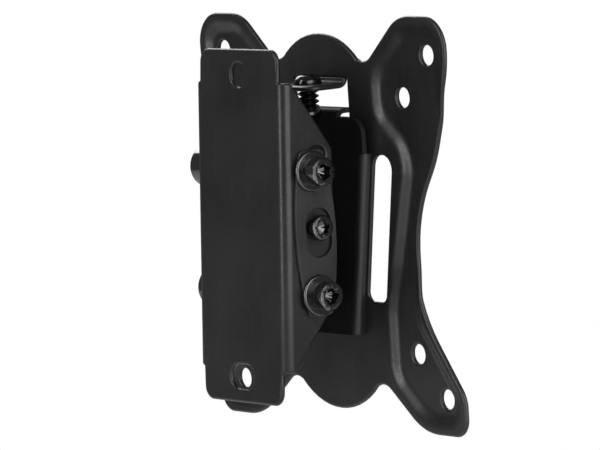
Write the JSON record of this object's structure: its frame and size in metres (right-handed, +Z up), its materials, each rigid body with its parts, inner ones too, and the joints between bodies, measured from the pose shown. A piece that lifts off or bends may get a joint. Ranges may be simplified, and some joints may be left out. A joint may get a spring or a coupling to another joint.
{
  "type": "tilting tv wall mount",
  "caption": "Small tilting wall mount for a flat screen: a folded wall bracket, curved bolt slots, and a stamped screen plate with square hole patterns.",
  "frame": {"origin": "middle of the wall side face of the wall bracket", "axes": "+Y from the wall toward the screen, +Z up, +X to the right in the picture, which is the side with the socket heads"},
  "size_m": [0.1208, 0.0388, 0.1218],
  "materials": {
    "bracket_black": "satin black powder coat",
    "plate_black": "satin black powder coat",
    "part_black": "slightly rough black coat",
    "screw_black": "glossy black plating"
  },
  "bodies": {
    "wall_side": {"wall_bracket": "bracket_black", "centre_screw_right": "screw_black", "centre_screw_left": "screw_black", "centre_nut_right": "screw_black", "centre_nut_left": "screw_black"},
    "screen_side": {"guide_plate_right": "part_black", "guide_plate_left": "part_black", "washer_top": "screw_black", "washer_bottom": "screw_black", "tilt_bolt_top": "screw_black", "tilt_bolt_bottom": "screw_black", "round_nut_top": "screw_black", "round_nut_bottom": "screw_black", "spacer_top_right": "part_black", "spacer_top_left": "part_black", "spacer_bottom_right": "part_black", "spacer_bottom_left": "part_black", "tilt_arms": "plate_black", "hook_panel": "plate_black", "screen_plate": "plate_black", "lock_screw": "screw_black"}
  },
  "joints": [
    {"name": "tilt", "type": "hinge", "parent": "wall_side", "child": "screen_side", "pos_m": [0, 0.037, 0], "axis": [-1, 0, 0], "range_deg": [-2.6, 9.4]}
  ]
}
